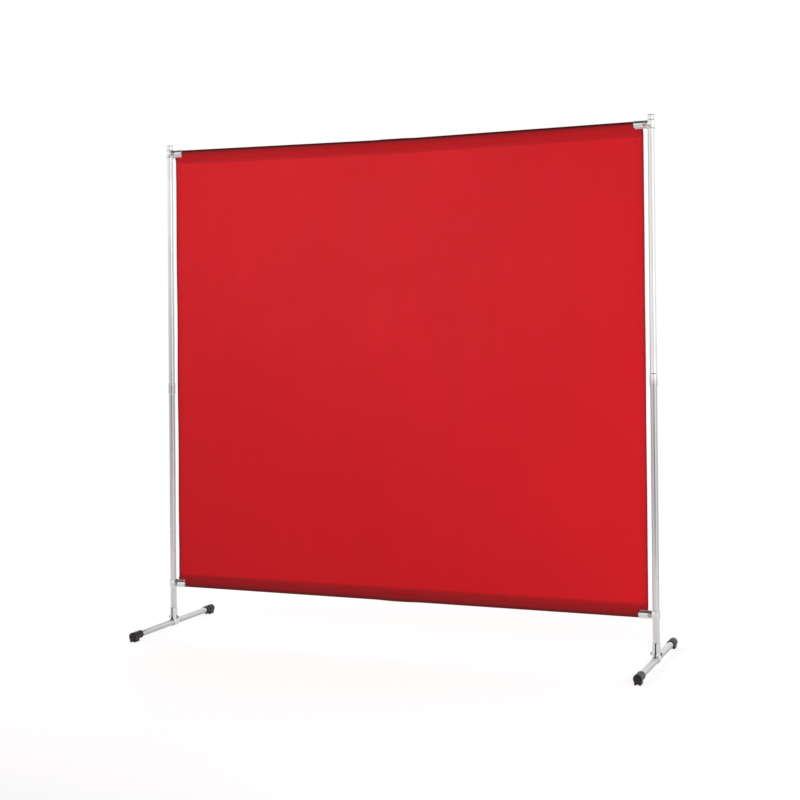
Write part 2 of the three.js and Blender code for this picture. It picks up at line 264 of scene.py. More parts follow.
def moulded_rubber():
    """Black rubber with a fine moulded grain, greyed where it has been scuffed."""
    s = Surface("moulded_rubber", specular=0.38)
    grain = s.noise((1400, 1400, 1400), detail=3)
    clouds = s.noise((45, 45, 45), detail=4, roughness=0.65)
    scuffs = s.between(s.noise((160, 160, 30), detail=3), 0, 1, 0.62, 0.72)
    base = s.mix(s.between(clouds, 0, 1), (0.004, 0.004, 0.004, 1), (0.009, 0.009, 0.0087, 1))
    edge = s.between(s.attribute("edge").outputs["Fac"], 0, 0.4, 0.1, 0.5)
    rubbed = s.math("MAXIMUM", edge, s.times(scuffs, 0.6))
    colour = s.mix(rubbed, base, (0.032, 0.031, 0.03, 1))
    roughness = s.plus(s.between(clouds, 0.22, 0.34), s.between(grain, 0, 0.1))
    normal = s.bump(grain, 0.00012, 0.6, under=s.bump(clouds, 0.0006, 0.2))
    return s.finish(colour, roughness, normal)


def plug_plastic():
    """Dark grey moulded plastic of the post plugs."""
    s = Surface("plug_plastic", specular=0.45)
    grain = s.noise((1800, 1800, 1800), detail=2)
    clouds = s.noise((90, 90, 90), detail=3)
    colour = s.mix(s.between(clouds, 0, 1), (0.022, 0.022, 0.023, 1), (0.04, 0.04, 0.041, 1))
    roughness = s.plus(s.between(clouds, 0.38, 0.5), s.between(grain, 0, 0.1))
    return s.finish(colour, roughness, s.bump(grain, 0.00008, 0.5))


RIBS_OF_A_WELD = 2200.0  # radians per metre


def red_vinyl(welds, hem_edge, sheet_edge):
    """Red PVC sheet with painted shade where a rail, a tunnel's other side or a hem's fold would
    keep back light. In its pattern X runs along the screen and Y along the sheet's length.
    welds are the (start, end) of the welds beside the tunnels along Y, hem_edge is where a side
    hem's weld begins along X and sheet_edge where the hem is folded, all in metres."""
    s = Surface("red_vinyl", specular=0.12)
    parts = add_node(s.tree, "SeparateXYZ", {0: s.place})
    across = s.math("ABSOLUTE", parts.outputs["X"])
    along = parts.outputs["Y"]

    def band(value, start, end, blur=0.0012):
        rise = s.between(value, 0, 1, start - blur, start + blur)
        fall = s.between(value, 1, 0, end - blur, end + blur)
        return s.times(rise, fall)

    tracks = band(across, hem_edge, hem_edge + HEM_WELD * MM)
    for start, end in welds:
        tracks = s.math("MAXIMUM", tracks, band(along, start, end))
    # painted shade that grows towards the hem's fold
    hem = s.between(across, 0, 1, sheet_edge - HEM_SHADE * MM, sheet_edge)
    # painted shade where a rail or a second layer would keep back light, read from the mesh
    painted_shade = s.attribute("edge").outputs["Fac"]

    clouds = s.noise((1.6, 1.6, 1.6), detail=3)
    streaks = s.noise((14, 1.2, 3), detail=3)
    grain = s.noise((900, 900, 900), detail=2)
    flow = s.noise((260, 40, 260), detail=2)
    rub = s.noise((5, 7, 5), detail=5, roughness=0.7)
    slanted = s.plus(along, across)
    ribs = s.math("SINE", s.times(slanted, RIBS_OF_A_WELD))

    plain = s.mix(s.between(clouds, 0, 1), (0.532, 0.0081, 0.0128, 1), (0.561, 0.0085, 0.0138, 1))
    streaky = s.mix(s.between(streaks, 0, 0.3), plain, (0.512, 0.0081, 0.0123, 1))
    hemmed = s.mix(s.times(hem, 0.95), streaky, (0.27, 0.0085, 0.0095, 1))
    tracked = s.mix(s.times(tracks, 0.12), hemmed, (0.32, 0.0075, 0.01, 1))
    # the painted shade darkens the sheet towards a near black red
    colour = s.mix(painted_shade, tracked, (0.075, 0.0055, 0.006, 1))

    rough = s.plus(s.between(rub, 0.36, 0.46), s.between(grain, 0, 0.05))
    roughness = s.plus(rough, s.times(tracks, 0.06))
    fine = s.bump(s.plus(grain, flow), 0.00006, 0.5)
    track = s.math("SUBTRACT", s.times(ribs, 0.2), 1.0)
    normal = s.bump(s.times(track, tracks), 0.00025, 0.8, under=fine)
    return s.finish(colour, roughness, normal)


# ---------- Meshes


def write_mesh(name, points, faces, normals=None, wear_and_shade=None, grain=None):
    """A mesh in metres from millimetre points. grain is the vector that its pattern follows,
    which is the points themselves if it isn't given, and wear_and_shade says how worn each point
    is, and on the curtain and on a tube's end in a clamp how much painted shade it takes."""
    points = np.asarray(points, float) * MM
    mesh = bpy.data.meshes.new(name)
    mesh.from_pydata(points.tolist(), [], [list(face) for face in faces])
    layout = points if grain is None else np.asarray(grain, float) * MM
    vectors = mesh.attributes.new("grain", "FLOAT_VECTOR", "POINT")
    vectors.data.foreach_set("vector", layout.astype(np.float32).ravel())
    wear = mesh.attributes.new("edge", "FLOAT", "POINT")
    values = np.zeros(len(points)) if wear_and_shade is None else wear_and_shade
    wear.data.foreach_set("value", np.asarray(values, np.float32))
    mesh.shade_smooth()
    if normals is None:
        mesh.set_sharp_from_angle(angle=math.radians(34))
    else:
        mesh.normals_split_custom_set_from_vertices(normals.tolist())
    return mesh


def turn_outwards(mesh):
    """Makes a closed mesh's faces point out."""
    shape = bmesh.new()
    shape.from_mesh(mesh)
    bmesh.ops.recalc_face_normals(shape, faces=shape.faces)
    shape.to_mesh(mesh)
    shape.free()
    return mesh


def loft(name, rings, ring_closed=False, wear_and_shade=None):
    """A closed mesh through rings of points. Its ends are capped, or joined to each other."""
    rings = np.asarray(rings, float)
    count, sides = rings.shape[:2]
    faces = []
    for ring in range(count if ring_closed else count - 1):
        after = (ring + 1) % count
        for side in range(sides):
            beside = (side + 1) % sides
            quad = (ring, side), (ring, beside), (after, beside), (after, side)
            faces.append([a * sides + b for a, b in quad])
    if not ring_closed:
        faces.append(list(range(sides))[::-1])
        faces.append([(count - 1) * sides + side for side in range(sides)])
    return turn_outwards(write_mesh(name, rings.reshape(-1, 3), faces, wear_and_shade=wear_and_shade))


def rounded(profile, rounding):
    """A [radius, height] outline with its corners rounded, and a point beside each rounding so
    that shading stays on it."""
    arc_steps = 4
    corners = [Vector(point) for point in profile]
    made = [corners[0]]
    for i, corner in enumerate(corners[1:-1], 1):
        before = corners[i - 1] - corner
        after = corners[i + 1] - corner
        reach = min(rounding, before.length / 3, after.length / 3)
        start = corner + before.normalized() * reach
        end = corner + after.normalized() * reach
        made.append(corner + before.normalized() * reach * 1.4)
        for step in range(arc_steps + 1):
            t = step / arc_steps
            made.append(start * (1 - t) ** 2 + corner * 2 * t * (1 - t) + end * t**2)
        made.append(corner + after.normalized() * reach * 1.4)
    made.append(corners[-1])
    return np.array([[point.x, point.y] for point in made])


def turned_rings(profile):
    """The rings of a [radius, height] outline turned about Z."""
    angles = np.linspace(0, 2 * math.pi, TUBE_SIDES, endpoint=False)
    radius, height = np.asarray(profile, float).T
    x = radius[:, None] * np.cos(angles)
    y = radius[:, None] * np.sin(angles)
    z = np.broadcast_to(height[:, None], x.shape)
    return np.stack([x, y, z], axis=2)


def smooth(value, start, end):
    """From 0 to 1 as a value goes from start to end."""
    t = np.clip((value - start) / (end - start), 0, 1)
    return t * t * (3 - 2 * t)


# Distances, in millimetres, negative inside.


def rod_distance(radial, along, radius, low, high, rounding):
    """A rod between two heights, its rims rounded. radial is measured from its axis."""
    a = radial - radius + rounding
    b = np.abs(along - (low + high) / 2) - (high - low) / 2 + rounding
    outside = np.hypot(np.maximum(a, 0), np.maximum(b, 0))
    return np.minimum(np.maximum(a, b), 0) + outside - rounding


def box_distance(x, y, half_x, half_y, rounding):
    return rod_distance(np.abs(x), y, half_x, -half_y, half_y, rounding)


def ring_distance(radial, along, radius, height, thickness):
    return np.hypot(radial - radius, along - height) - thickness


def join(a, b, fillet):
    blend = np.maximum(fillet - np.abs(a - b), 0) / fillet
    return np.minimum(a, b) - blend**2 * fillet / 4


def cut(a, b, rounding):
    return -join(-a, b, rounding)


def slope(distance, points, step=0.02):
    """How a distance changes along each axis at points."""
    changes = []
    for shift in np.eye(3) * step:
        ahead = distance(*(points + shift).T)
        behind = distance(*(points - shift).T)
        changes.append((ahead - behind) / (2 * step))
    return np.stack(changes, axis=1)


def onto(distance, points, rounds=2):
    """Points moved onto the surface where a distance is zero."""
    for _ in range(rounds):
        change = slope(distance, points)
        steepness = np.maximum((change**2).sum(axis=1), 0.05)
        points = points - change * (distance(*points.T) / steepness)[:, None]
    return points


def neighbour_mean(quads, values):
    """At each point, the mean of a value over the quads round it."""
    centres = values[quads].mean(axis=1)
    uses = np.bincount(quads.ravel(), minlength=len(values))
    total = np.zeros_like(values)
    for corner in range(4):
        for axis in range(values.shape[1]):
            at = quads[:, corner]
            total[:, axis] += np.bincount(at, centres[:, axis], len(values))
    return total / uses[:, None]


def solid(name, distance, low, high, cell):
    """A closed mesh of the surface where a distance is zero, by surface nets: one point in each
    cell that the surface crosses, moved onto the surface, and one quad round each crossed edge
    of the grid."""
    axes = [np.arange(a, b + cell, cell) for a, b in zip(low, high)]
    inside = distance(*np.meshgrid(*axes, indexing="ij")) < 0
    corners = sum(
        inside[i : i - 1 or None, j : j - 1 or None, k : k - 1 or None].astype(int)
        for i in (0, 1)
        for j in (0, 1)
        for k in (0, 1)
    )
    crossed = (corners > 0) & (corners < 8)
    index = np.full(crossed.shape, -1)
    index[crossed] = np.arange(crossed.sum())
    points = (np.argwhere(crossed) + 0.5) * cell + np.array(low)

    quads = []
    for axis in range(3):
        solid_at = np.moveaxis(inside, axis, 0)
        cells = np.moveaxis(index, axis, 0)
        lower = solid_at[:-1, 1:-1, 1:-1]
        upper = solid_at[1:, 1:-1, 1:-1]
        i, j, k = np.nonzero(lower != upper)
        round_edge = [cells[i, j, k], cells[i, j + 1, k], cells[i, j + 1, k + 1], cells[i, j, k + 1]]
        ring = np.stack(round_edge, axis=1)
        backwards = lower[i, j, k] == (axis == 1)
        ring[backwards] = ring[backwards][:, ::-1]
        quads.append(ring)
    quads = np.concatenate(quads)

    for _ in range(4):
        points = onto(distance, neighbour_mean(quads, points))
    normals = slope(distance, points)
    normals /= np.linalg.norm(normals, axis=1)[:, None]
    spread = neighbour_mean(quads, neighbour_mean(quads, normals))
    bend = 1 - np.linalg.norm(spread, axis=1)
    outwards = (neighbour_mean(quads, points) - points) * normals
    worn = np.where(outwards.sum(axis=1) < 0, bend * 6, 0)
    return write_mesh(name, points, quads, normals=normals, wear_and_shade=np.clip(worn, 0, 1))


# ---------- Putting pieces in place


def show(name, data):
    """A new object in the scene."""
    thing = bpy.data.objects.new(name, data)
    bpy.context.scene.collection.objects.link(thing)
    return thing


def own_copy(mesh, name):
    """A copy of a mesh that lies somewhere else in its material's pattern."""
    copy = mesh.copy()
    copy.name = name
    vectors = copy.attributes["grain"]
    layout = np.zeros(len(copy.vertices) * 3, np.float32)
    vectors.data.foreach_get("vector", layout)
    moved = layout.reshape(-1, 3) + PLACES.uniform(0, 3, 3)
    vectors.data.foreach_set("vector", moved.astype(np.float32).ravel())
    return copy


def add_piece(node, kind, mesh, material, placement):
    """Shows a mesh in place of a CAD node, on the node's body."""
    name = f"{node}_{kind}"
    piece = show(name, own_copy(mesh, name))
    piece.data.materials.append(material)
    piece.matrix_world = placement
    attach(piece, BODY_OF[node])
    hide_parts(node)
    return piece


def placed(at, x, y, z):
    """The matrix of a local frame: its origin in millimetres and its three axes."""
    matrix = Matrix([x, y, z]).transposed().to_4x4()
    matrix.translation = Vector(at) * MM
    return matrix


# ---------- Tubes


def swaged(start, end, neck):
    """The [radius, height] outline of a wall that is widened from one radius to another below
    a neck."""
    outline = []
    for i in range(7):
        t = i / 6
        swell = t * t * (3 - 2 * t)
        outline.append((start + (end - start) * swell, neck - SOCKET_TAPER * (1 - t)))
    return outline


def tube_mesh(length, socketed, gripped):
    """A tube along Z from its plain end. A socketed one is swaged out at its far end. gripped
    is how much of the plain end lies hidden in a clamp."""
    bore = TUBE_RADIUS - TUBE_WALL
    half = length / 2
    if socketed:
        neck = length - SOCKET_DEPTH
        inner = SOCKET_RADIUS - SOCKET_WALL
        outside = swaged(TUBE_RADIUS, SOCKET_RADIUS, neck)
        inside = swaged(bore, inner, neck)
        mouth = [outside[-1], (SOCKET_RADIUS, length), (inner, length), inside[-1]]
        far = [*outside[:-1], *rounded(mouth, RIM_ROUNDING), *inside[-2::-1]]
    else:
        mouth = [(TUBE_RADIUS, half), (TUBE_RADIUS, length), (bore, length), (bore, half)]
        far = rounded(mouth, RIM_ROUNDING)[1:-1]
    foot = [(bore, half), (bore, 0), (TUBE_RADIUS, 0), (TUBE_RADIUS, half)]
    near = rounded(foot, RIM_ROUNDING)[1:-1]
    border = [(TUBE_RADIUS, gripped - 1), (TUBE_RADIUS, gripped)] if gripped else []
    profile = [*near, *border, *far]
    # the end that lies hidden in a clamp takes painted shade, near black
    hidden = np.zeros(len(profile))
    if gripped:
        hidden[len(near) // 2 : len(near) + 1] = 1
    return loft("tube", turned_rings(profile), True, np.repeat(hidden, TUBE_SIDES))


def add_tube(node, start, end, socketed, material, gripped=0):
    """A tube from one point to another in millimetres, its socket at the second."""
    along = Vector(end) - Vector(start)
    mesh = tube_mesh(along.length, socketed, gripped)
    placement = along.to_track_quat("Z", "Y").to_matrix().to_4x4()
    placement.translation = Vector(start) * MM
    return add_piece(node, "tube", mesh, material, placement)


def span(node, axis):
    """The lowest and highest coordinate of a CAD node along an axis, in millimetres."""
    low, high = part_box(node)
    return low[axis] / MM, high[axis] / MM


def rail_drop(outwards):
    """How far the top rail hangs below its ends. Each half is straight, so the distance from
    the middle is negative past the joint."""
    branch_end = POST_X - span("bottom_rail_right", 0)[1]
    pivot = POST_X - (branch_end + TEE_REACH) / 2
    return RAIL_SAG * (1 - outwards / pivot)


def add_tubes(material, foot_material):
    for side, x in (("left", -POST_X), ("right", POST_X)):
        for part in ("lower", "upper"):
            node = f"post_{side}_{part}"
            low, high = ((x, 0, z) for z in span(node, 2))
            if node == "post_right_upper":
                low, high = high, low
            socketed = node in ("post_left_lower", "post_right_upper")
            gripped = FOOT_AXIS_Z + TEE_REACH - low[2] if part == "lower" else 0
            add_tube(node, low, high, socketed, material, gripped)
        near, far = ((x, y, FOOT_AXIS_Z) for y in span(f"foot_tube_{side}", 1))
        add_tube(f"foot_tube_{side}", near, far, False, foot_material)

    left_end, grip = span("bottom_rail_left", 0)
    rim, right_end = span("bottom_rail_right", 0)
    gripped = right_end - (POST_X - TEE_REACH)
    for level, height in (("bottom", BOTTOM_RAIL_Z), ("top", TOP_RAIL_Z)):
        sag = rail_drop if level == "top" else (lambda outwards: 0)
        start, end = ((x, 0, height - sag(-x)) for x in (left_end, grip))
        add_tube(f"{level}_rail_left", start, end, False, material, gripped)
        start, end = ((x, 0, height - sag(x)) for x in (right_end, rim))
        add_tube(f"{level}_rail_right", start, end, True, material, gripped)


# ---------- Clamp tees. The through tube is along Z, the branch tube along +X, the bolt along Y.


def tee_half_distance(x, y, z):
    """The half on the +Y side of the split plane: two half sleeves that run into each other,
    with a lip at each mouth, a spot-faced boss for the bolt, and a slit that opens into a
    rounded wedge at the crook."""
    half_collar = TEE_COLLAR / 2
    lip = 1.5
    boss_radius, spot_face, bolt_hole = 8.2, 7.6, 3.4
    through = np.hypot(x, y)
    branch = np.hypot(y, z)
    bolt = np.hypot(x - BOLT_X, z)
    collar = rod_distance(through, z, TEE_OUTER, -half_collar, half_collar, 0.7)
    sleeve = rod_distance(branch, x, TEE_OUTER, 0, TEE_REACH, 0.7)
    bead = ring_distance(through, np.abs(z), TEE_OUTER - 0.8, half_collar - lip, lip)
    collar = join(collar, bead, 1.2)
    bead = ring_distance(branch, x, TEE_OUTER - 0.8, TEE_REACH - lip, lip)
    sleeve = join(sleeve, bead, 1.2)
    body = join(collar, sleeve, 5)
    boss = rod_distance(bolt, y, boss_radius, 0, TEE_SEAT + 1, 0.5)
    body = join(body, boss, 2.2)
    body = cut(body, rod_distance(bolt, y, spot_face, TEE_SEAT, TEE_SEAT + 9, 0.2), 0.5)

    bore = join(through - TEE_BORE, np.maximum(branch - TEE_BORE, -x), 1.5)
    body = cut(body, bore, 0.7)
    body = cut(body, bolt - bolt_hole, 0.5)
    half_slit = 0.5 + 1.75 * smooth(x, -3, 3)
    body = cut(body, y - half_slit, 0.7)
    wedge_start, wedge_length, wedge_width = 15.5, 18.5, 4.7
    share = np.clip((x - wedge_start) / wedge_length, 0, 1)
    on_axis = wedge_start + share * wedge_length
    wedge = np.hypot(x - on_axis, y) - wedge_width * (1 - share) - 0.4
    return cut(body, wedge, 0.7)


# Bolts and nuts, in millimetres
FASTENER_SIDES = 96
ACROSS_FLATS = 10
HEX_CORNER = ACROSS_FLATS / math.sqrt(3)
PITCH = 1.0
THREAD_STEP = 0.125  # between the rings of a thread


def star_rings(rows):
    """Rings from rows of (height, radius), where a radius is a number or a function of the
    angle."""
    angles = np.linspace(0, 2 * math.pi, FASTENER_SIDES, endpoint=False)
    rings = []
    for height, radius in rows:
        r = radius(angles) if callable(radius) else radius
        ring = np.full((FASTENER_SIDES, 3), float(height))
        ring[:, 0] = r * np.cos(angles)
        ring[:, 1] = r * np.sin(angles)
        rings.append(ring)
    return rings


def thread_radius(height, radius, depth):
    """The radius at each angle of a thread at one height."""

    def at(angles):
        turn = np.mod(height / PITCH - angles / (2 * math.pi), 1)
        return radius - depth * np.abs(2 * turn - 1)

    return at


def hexagon(limit):
    """The radius at each angle of a hexagon, no further from its axis than a limit."""

    def at(angles):
        turned = np.mod(angles, math.pi / 3) - math.pi / 6
        return np.minimum(ACROSS_FLATS / 2 / np.cos(turned), limit)

    return at


def chamfer(start, rise, narrowing):
    """Rows over the corners of a hexagon that are turned down from a height."""
    shares = [i / 5 for i in range(6)]
    widest = HEX_CORNER + 0.1
    return [(start + t * rise, hexagon(widest - t * narrowing)) for t in shares]


def bolt_mesh():
    """A flanged bolt along +Z, its thread's end at z = 0, its head at the top."""
    seat = TEE_SEAT + SEAT_GAP
    shank = 2 * seat + 6
    thread_end, core, major = 20.0, 2.5, 3.0
    rows = [(0, core - 0.5), (0.02, core - 0.4)]
    for i in range(int(thread_end / THREAD_STEP)):
        height = 0.05 + i * THREAD_STEP
        depth = 0.5 * min(1, 0.55 + height * 0.6)
        crest = major * min(1, 0.87 + height * 0.12)
        rows.append((height, thread_radius(height, crest, depth)))
    rows += [(thread_end + 0.5, major), (shank - 0.5, major), (shank - 0.02, major + 0.2)]
    flange, head = 7.0, 6.0
    rows += [(shank, major + 0.5), (shank, flange - 0.5), (shank + 0.1, flange - 0.12)]
    rows += [(shank + 0.4, flange), (shank + 0.7, flange - 0.1), (shank + 1.0, flange - 0.55)]
    rows += [(shank + 1.5, hexagon(flange)), (shank + 1.6, hexagon(flange))]
    rows += chamfer(shank + head - 1.0, 0.8, 1.25)
    rows += [(shank + head - 0.05, 4.25), (shank + head, 4.0), (shank + head, 2.9)]
    rows += [(shank + head - 0.3, 2.6), (shank + head - 0.35, 0.6)]
    rings = star_rings(rows)
    worn = [[0.3 if shank + 4.6 < z else 0.0 for z in ring[:, 2]] for ring in rings]
    return loft("bolt", rings, wear_and_shade=np.concatenate(worn))


def nut_mesh():
    """A nut along +Z from z = 0, with a thread in its hole."""
    height = 5.0
    rows = chamfer(0.8, -0.8, 1.2)[::-1] + chamfer(height - 0.8, 0.8, 1.2)
    rows += [(height, 3.7), (height - 0.4, 3.35)]
    for i in range(33):
        level = height - 0.5 - i * THREAD_STEP
        rows.append((level, thread_radius(level, 3.45, 0.3)))
    rows += [(0.4, 3.35), (0, 3.7)]
    return loft("nut", star_rings(rows), ring_closed=True)


def add_tee(name, at, sleeve, head, halves, meshes, materials):
    """A tee at a point, its sleeve along one axis and its bolt's head along another."""
    through = sleeve.cross(head)
    near = placed(at, sleeve, head, through)
    far = placed(at, sleeve, -head, -through)
    half, bolt, nut = meshes
    plate, steel = materials
    add_piece(f"tee_{name}_{halves[0]}", "shell", half, plate, near)
    add_piece(f"tee_{name}_{halves[1]}", "shell", half, plate, far)
    seat = TEE_SEAT + SEAT_GAP
    axis = Vector(at) + sleeve * BOLT_X
    bolt_foot = axis - head * (seat + 6)
    nut_foot = axis - head * (seat + 5)
    for part, mesh, foot in (("bolt", bolt, bolt_foot), ("nut", nut, nut_foot)):
        placement = placed(foot, through, sleeve, head)
        add_piece(f"tee_{name}_{part}", "m6", mesh, steel, placement)


def add_tees(plate, steel):
    half = solid("tee_half", tee_half_distance, (-17, -0.5, -18.5), (62.5, 18, 18.5), 0.62)
    meshes = half, bolt_mesh(), nut_mesh()
    for level, z in (("top", TOP_RAIL_Z), ("bottom", BOTTOM_RAIL_Z)):
        for side, inwards in (("left", X_AXIS), ("right", -X_AXIS)):
            at = Z_AXIS * z - inwards * POST_X
            halves = "front", "back"
            add_tee(f"{level}_{side}", at, inwards, -Y_AXIS, halves, meshes, (plate, steel))
    for side, x, halves in (("left", -POST_X, "inner outer"), ("right", POST_X, "outer inner")):
        at = Vector((x, 0, FOOT_AXIS_Z))
        add_tee(f"foot_{side}", at, Z_AXIS, X_AXIS, halves.split(), meshes, (plate, steel))


# ---------- Foot caps and post plugs

CAP_LENGTH = 60
CAP_BORE_DEPTH = 52
CAP_HEAD_LENGTH = 38
CAP_RADIUS = 15.8
CAP_HEAD_RADIUS = 16
CAP_PAD_HALF = 12.5
CAP_ARCH = 4


def cap_distance(x, y, z):
    """A cap with its mouth at z = 0, its closed end at z = CAP_LENGTH and its pad towards -Y."""
    floor = -FOOT_AXIS_Z
    radial = np.hypot(x, y)
    step = CAP_LENGTH - CAP_HEAD_LENGTH
    sleeve = rod_distance(radial, z, CAP_RADIUS - 0.5, 0, CAP_LENGTH - 2, 1)
    lip = ring_distance(radial, z, CAP_RADIUS - 1.4, 1.6, 1.4)
    sleeve = join(sleeve, lip, 1.5)
    head = rod_distance(radial, z, CAP_HEAD_RADIUS, step, CAP_LENGTH - 0.9, 3)
    pad_middle, pad_half = floor / 2, -floor / 2
    pad = box_distance(x, y - pad_middle, CAP_PAD_HALF, pad_half, 3.5)
    pad = rod_distance(pad + 20, z, 20, step + 1.5, CAP_LENGTH - 2, 2.5)
    head = join(head, pad, 3)
    arch = np.hypot(x, y - floor) - CAP_ARCH
    head = cut(head, arch, 1.4)
    body = join(sleeve, head, 1.6)
    groove = ring_distance(radial, z, CAP_RADIUS - 0.4, step - 4, 0.9)
    body = cut(body, groove, 1)
    face_ring = ring_distance(radial, z, 10.5, CAP_LENGTH - 1.2, 1.15)
    body = join(body, face_ring, 1)
    button = rod_distance(radial, z, 4.5, CAP_LENGTH - 4, CAP_LENGTH - 0.3, 0.8)
    body = join(body, button, 1)
    bore = rod_distance(radial, z, TEE_BORE, -9, CAP_BORE_DEPTH, 1)
    return cut(body, bore, 1)


def add_caps(material):
    reach = CAP_RADIUS + 2.5
    low = (-reach, -FOOT_AXIS_Z - 1.5, -1.5)
    cap = solid("foot_cap", cap_distance, low, (reach, reach, CAP_LENGTH + 2), 0.75)
    for side, x in (("left", -POST_X), ("right", POST_X)):
        for end, outwards, across in (("front", -Y_AXIS, X_AXIS), ("back", Y_AXIS, -X_AXIS)):
            node = f"foot_cap_{side}_{end}"
            mouth = min(abs(y) for y in span(node, 1))
            at = Vector((x, 0, FOOT_AXIS_Z)) + outwards * mouth
            add_piece(node, "rubber", cap, material, placed(at, across, Z_AXIS, outwards))


def plug_mesh():
    """A ribbed plug with the top of its flange at z = 0."""
    flange, barrel, length = 1.5, 10.2, 12.0
    ribs = []
    for i in range(4):
        top = -flange - 2.2 - i * 2.6
        ribs += [(barrel + 0.5, top + 0.5), (barrel, top), (barrel, top - 1.4)]
    crown = [(0.4, -0.5), (7.2, -0.5), (7.9, -0.35), (8.4, 0), (TUBE_RADIUS - 0.7, 0)]
    rim = [(TUBE_RADIUS - 0.2, -0.15), (TUBE_RADIUS, -0.5), (TUBE_RADIUS, -flange)]
    foot = [(barrel - 0.4, -flange - length), (0.4, -flange - length)]
    profile = [*crown, *rim, (barrel, -flange), *ribs, *foot]
    return loft("plug", turned_rings(profile))


def add_plugs(material):
    plug = plug_mesh()
    for side in ("left", "right"):
        node = f"post_plug_{side}"
        at = (middle(node).x / MM, 0, span(node, 2)[1])
        add_piece(node, "insert", plug, material, placed(at, X_AXIS, Y_AXIS, Z_AXIS))


# ---------- Curtain. A point on it has a column, along the screen, and a row, along the sheet from
# the flap behind the bottom rail to the flap behind the top rail.

FOLD = 0.55  # between the middles of two layers that lie on each other
NOTCH = 15.6  # from a rail's axis to the edge of a cut corner
PANEL_ROWS = 96
# How much painted shade the panel takes at the end of a flap and at a tunnel's foot, standing in
# for light that a rail or a second layer keeps back; the power that it rises by from there; and
# where it is full, as a share of the way from the rail's axis to the outside
TOP_SHADE = 0.18, 0.3, 3.2, 0.55
BOTTOM_SHADE = 0.07, 0.47, 1.8, 1.0
COLUMN_STEP = 9.0


def steps(start, end, count):
    """Points from start, left out, to end in equal steps."""
    start, end = np.asarray(start, float), np.asarray(end, float)
    return [start + (end - start) * (i + 1) / count for i in range(count)]


def tunnel_path(radius, depth, shade):
    """(y, h) points from the front foot of a tunnel round its rail to the end of the flap, h
    outwards from the rail's axis; how many of them lie in the full width of the sheet; and the
    painted shade at each, for the light from behind that the rail keeps back."""
    _, foot_shade, power, full = shade
    front, back = np.array([0.0, -depth]), np.array([FOLD, -depth])
    lean = math.acos(radius / depth)
    tangent = -math.pi / 2 - lean  # of the front side, as an angle from +Y
    touch = radius * np.array([math.cos(tangent), math.sin(tangent)])
    share = (NOTCH - depth) / (-touch[1] - depth)
    notch = front + (touch - front) * share
    points = [*steps(front, front + (notch - front) * 0.12, 1)]
    points += steps(points[-1], notch, 4)
    full_width = len(points)
    points += steps(notch, touch, 3)
    sweep = 2 * math.pi - 2 * lean
    for i in range(1, 25):
        angle = tangent - sweep * i / 24
        points.append(radius * np.array([math.cos(angle), math.sin(angle)]))
    points += steps(points[-1], back, 6)
    points += steps(back, back - np.array([0, FLAP]), 3)
    points = np.array(points)
    height = np.clip((points[:, 1] + depth) / (depth + radius * full), 0, 1)
    return points, full_width, foot_shade + (1 - foot_shade) * height**power


def rail_cover(x):
    """The radius of the sheet's middle round a rail, larger over the rail's socket."""
    rim = span("bottom_rail_right", 0)[0]
    neck = rim + SOCKET_DEPTH + SOCKET_TAPER
    ease = 75
    over = smooth(x, rim - ease, rim - 1) * (1 - smooth(x, neck - 2, neck + ease))
    plain = TUBE_RADIUS + RAIL_GAP + SHEET / 2
    return plain + (SOCKET_RADIUS - TUBE_RADIUS) * over


def sheet_column(x):
    """One column of the sheet: its (y, z) points, how much painted shade each takes, and the first
    rows of the bottom tunnel's full width, the panel, the top tunnel and its narrow part."""
    cover = rail_cover(x)
    upper, full_width, upper_painted_shade = tunnel_path(cover, TOP_TUNNEL, TOP_SHADE)
    lower, _, lower_painted_shade = tunnel_path(cover, BOTTOM_TUNNEL, BOTTOM_SHADE)
    top = TOP_RAIL_Z - rail_drop(abs(x))
    bottom_part = lower[::-1] * (1, -1) + (0, BOTTOM_RAIL_Z)
    top_part = upper + (0, top)
    low, high = BOTTOM_RAIL_Z + BOTTOM_TUNNEL, top - TOP_TUNNEL
    weld = FLAP / 3
    heights = [low + weld * i for i in range(4)]
    heights += list(np.linspace(low + FLAP + 1.5, high - FLAP - 1.5, PANEL_ROWS))
    heights += [high - weld * i for i in range(3, -1, -1)]
    panel = np.array([[0.0, z] for z in heights])
    # the welded flaps take painted shade too, from their end to the tunnel's foot
    welded = np.zeros(len(panel))
    welded[:4] = np.linspace(BOTTOM_SHADE[1], BOTTOM_SHADE[0], 4)
    welded[-4:] = np.linspace(TOP_SHADE[0], TOP_SHADE[1], 4)
    count = len(upper)
    marks = count - full_width, count, count + len(panel), count + len(panel) + full_width
    points = np.concatenate([bottom_part, panel, top_part])
    return points, np.concatenate([lower_painted_shade[::-1], welded, upper_painted_shade]), marks


